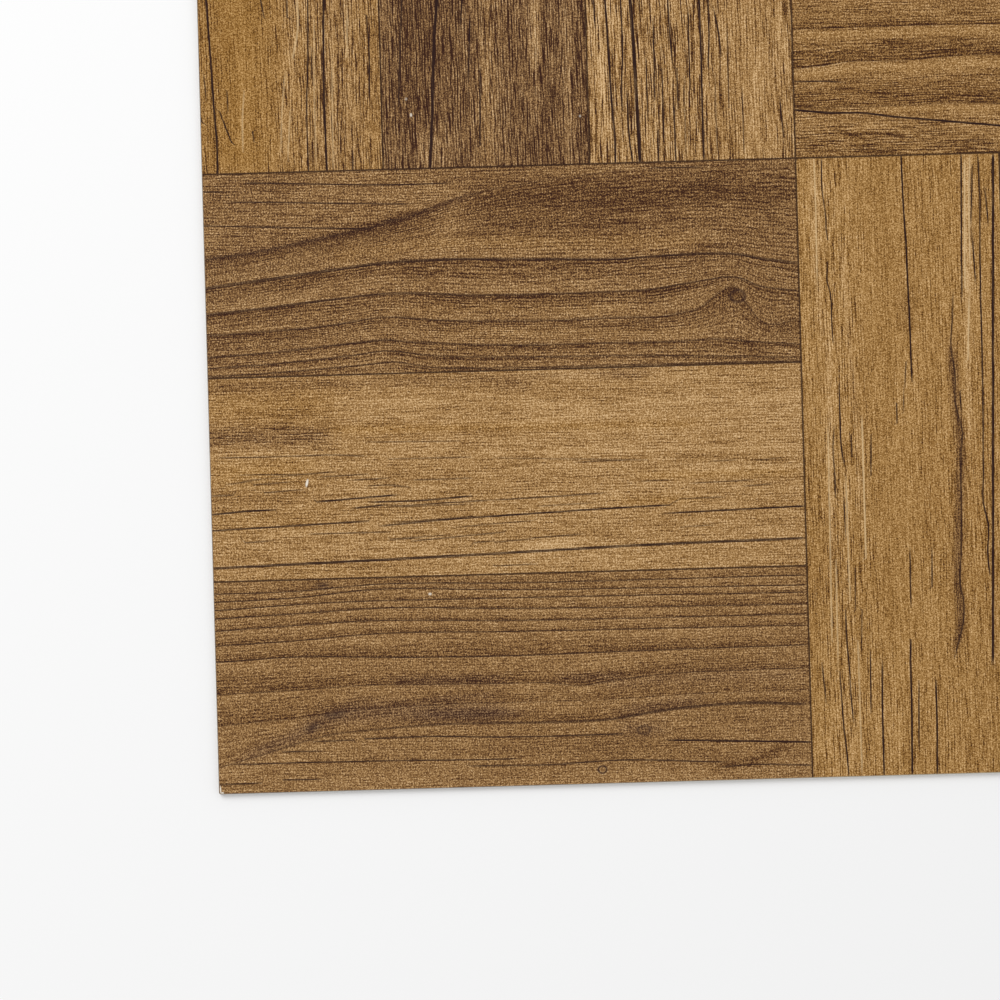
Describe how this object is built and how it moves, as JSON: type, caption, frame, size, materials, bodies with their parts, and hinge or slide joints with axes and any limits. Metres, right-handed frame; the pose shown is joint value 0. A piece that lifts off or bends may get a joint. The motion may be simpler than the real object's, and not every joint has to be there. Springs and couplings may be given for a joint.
{
  "type": "self-adhesive vinyl floor tile",
  "caption": "Thin square vinyl floor tile with a printed wood parquet face, rolled-over cut edges and a flat self-adhesive back.",
  "frame": {"origin": "centre of the adhesive back, on the floor it is laid on", "axes": "+Z out of the wear face, +X and +Y along the cut edges"},
  "size_m": [0.3048, 0.3048, 0.0012],
  "materials": {
    "printed_vinyl": "satin wood-print vinyl, finely embossed"
  },
  "bodies": {
    "root": {"vinyl_tile": "printed_vinyl"}
  },
  "joints": []
}
